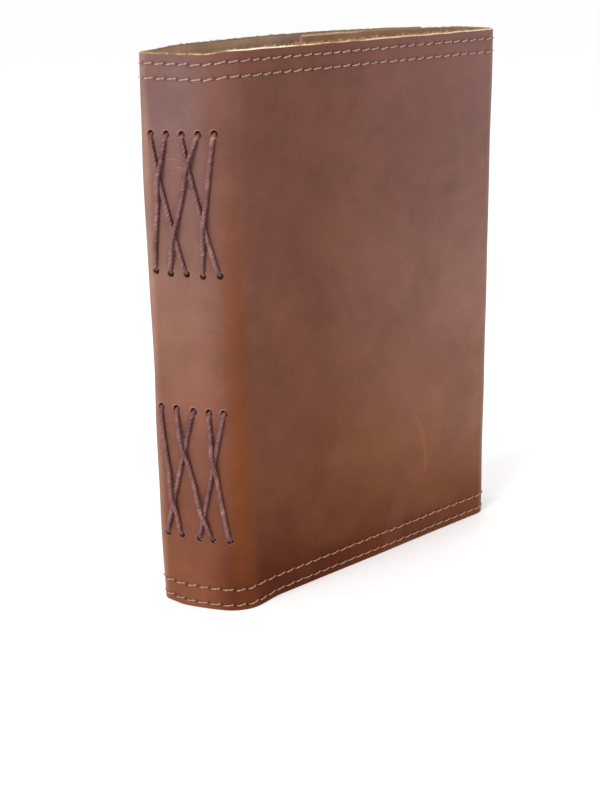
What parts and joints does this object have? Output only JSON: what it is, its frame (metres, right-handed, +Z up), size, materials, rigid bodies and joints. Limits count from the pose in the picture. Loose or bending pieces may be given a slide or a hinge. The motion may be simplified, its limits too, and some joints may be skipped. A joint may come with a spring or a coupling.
{
  "type": "leather notebook cover",
  "caption": "Hand-stitched leather wrap cover standing closed, with an exposed laced spine, a tucked fore-edge flap and sewn paper signatures inside.",
  "frame": {"origin": "middle of the footprint of the closed book standing on its lower edge", "axes": "+Z up along the spine, +X from the spine to the fore-edge along the front cover, -Y is the way the front cover's grain side faces"},
  "size_m": [0.1814, 0.0556, 0.235],
  "materials": {
    "hide": "satin, mottled reddish brown grain side, tan raw edges",
    "stitch_thread": "matt waxed cotton thread, pinkish tan",
    "lacing_cord": "matt waxed cord, dusty plum brown",
    "paper": "matt cream paper"
  },
  "bodies": {
    "back_cover": {"back_cover_leather": "hide", "back_cover_top_outer_stitches": "stitch_thread", "back_cover_bottom_outer_stitches": "stitch_thread", "back_cover_top_inner_stitches": "stitch_thread", "back_cover_bottom_inner_stitches": "stitch_thread", "back_cover_free_edge_outer_stitches": "stitch_thread", "back_cover_free_edge_inner_stitches": "stitch_thread"},
    "spine": {"spine_leather": "hide", "spine_top_outer_stitches": "stitch_thread", "spine_bottom_outer_stitches": "stitch_thread", "spine_top_inner_stitches": "stitch_thread", "spine_bottom_inner_stitches": "stitch_thread", "upper_lacing_cord": "lacing_cord", "lower_lacing_cord": "lacing_cord"},
    "front_cover": {"front_cover_leather": "hide", "front_cover_top_outer_stitches": "stitch_thread", "front_cover_bottom_outer_stitches": "stitch_thread", "front_cover_top_inner_stitches": "stitch_thread", "front_cover_bottom_inner_stitches": "stitch_thread"},
    "fore_edge": {"fore_edge_leather": "hide", "fore_edge_top_outer_stitches": "stitch_thread", "fore_edge_bottom_outer_stitches": "stitch_thread", "fore_edge_top_inner_stitches": "stitch_thread", "fore_edge_bottom_inner_stitches": "stitch_thread"},
    "flap": {"flap_leather": "hide", "flap_top_outer_stitches": "stitch_thread", "flap_bottom_outer_stitches": "stitch_thread", "flap_top_inner_stitches": "stitch_thread", "flap_bottom_inner_stitches": "stitch_thread", "flap_free_edge_outer_stitches": "stitch_thread", "flap_free_edge_inner_stitches": "stitch_thread"},
    "signature_1": {"signature_1": "paper"},
    "signature_2": {"signature_2": "paper"},
    "signature_3": {"signature_3": "paper"},
    "signature_4": {"signature_4": "paper"},
    "signature_5": {"signature_5": "paper"}
  },
  "joints": [
    {"name": "front_cover_hinge", "type": "hinge", "parent": "spine", "child": "front_cover", "pos_m": [-0.07401, -0.02612, 0.1175], "axis": [0, 0, -1], "range_deg": [0, 150]},
    {"name": "back_cover_hinge", "type": "hinge", "parent": "spine", "child": "back_cover", "pos_m": [-0.08904, 0.00877, 0.1175], "axis": [0, 0, 1], "range_deg": [0, 150]},
    {"name": "fore_edge_hinge", "type": "hinge", "parent": "front_cover", "child": "fore_edge", "pos_m": [0.08645, -0.02523, 0.1175], "axis": [0, 0, -1], "range_deg": [0, 85]},
    {"name": "flap_hinge", "type": "hinge", "parent": "fore_edge", "child": "flap", "pos_m": [0.08901, -0.003, 0.1175], "axis": [0, 0, -1], "range_deg": [0, 85], "deforming": ["flap_leather", "flap_top_outer_stitches", "flap_bottom_outer_stitches", "flap_top_inner_stitches", "flap_bottom_inner_stitches", "flap_free_edge_outer_stitches", "flap_free_edge_inner_stitches"]},
    {"name": "signature_1_hinge", "type": "hinge", "parent": "spine", "child": "signature_1", "pos_m": [-0.08334, 0.00667, 0.1175], "axis": [0, 0, 1], "range_deg": [0, 75]},
    {"name": "signature_2_hinge", "type": "hinge", "parent": "spine", "child": "signature_2", "pos_m": [-0.08049, -0.00006, 0.1175], "axis": [0, 0, 1], "range_deg": [0, 54]},
    {"name": "signature_3_hinge", "type": "hinge", "parent": "spine", "child": "signature_3", "pos_m": [-0.07763, -0.00679, 0.1175], "axis": [0, 0, 1], "range_deg": [0, 33]},
    {"name": "signature_4_hinge", "type": "hinge", "parent": "spine", "child": "signature_4", "pos_m": [-0.07477, -0.01352, 0.1175], "axis": [0, 0, -1], "range_deg": [0, 17.25]},
    {"name": "signature_5_hinge", "type": "hinge", "parent": "spine", "child": "signature_5", "pos_m": [-0.07192, -0.02025, 0.1175], "axis": [0, 0, -1], "range_deg": [0, 51]}
  ],
  "couplings": [
    {"joint": "flap_hinge", "follows": "fore_edge_hinge", "ratio": 1},
    {"joint": "signature_1_hinge", "follows": "back_cover_hinge", "ratio": 0.5},
    {"joint": "signature_2_hinge", "follows": "back_cover_hinge", "ratio": 0.36},
    {"joint": "signature_3_hinge", "follows": "back_cover_hinge", "ratio": 0.22},
    {"joint": "signature_4_hinge", "follows": "front_cover_hinge", "ratio": 0.115},
    {"joint": "signature_5_hinge", "follows": "front_cover_hinge", "ratio": 0.34}
  ]
}
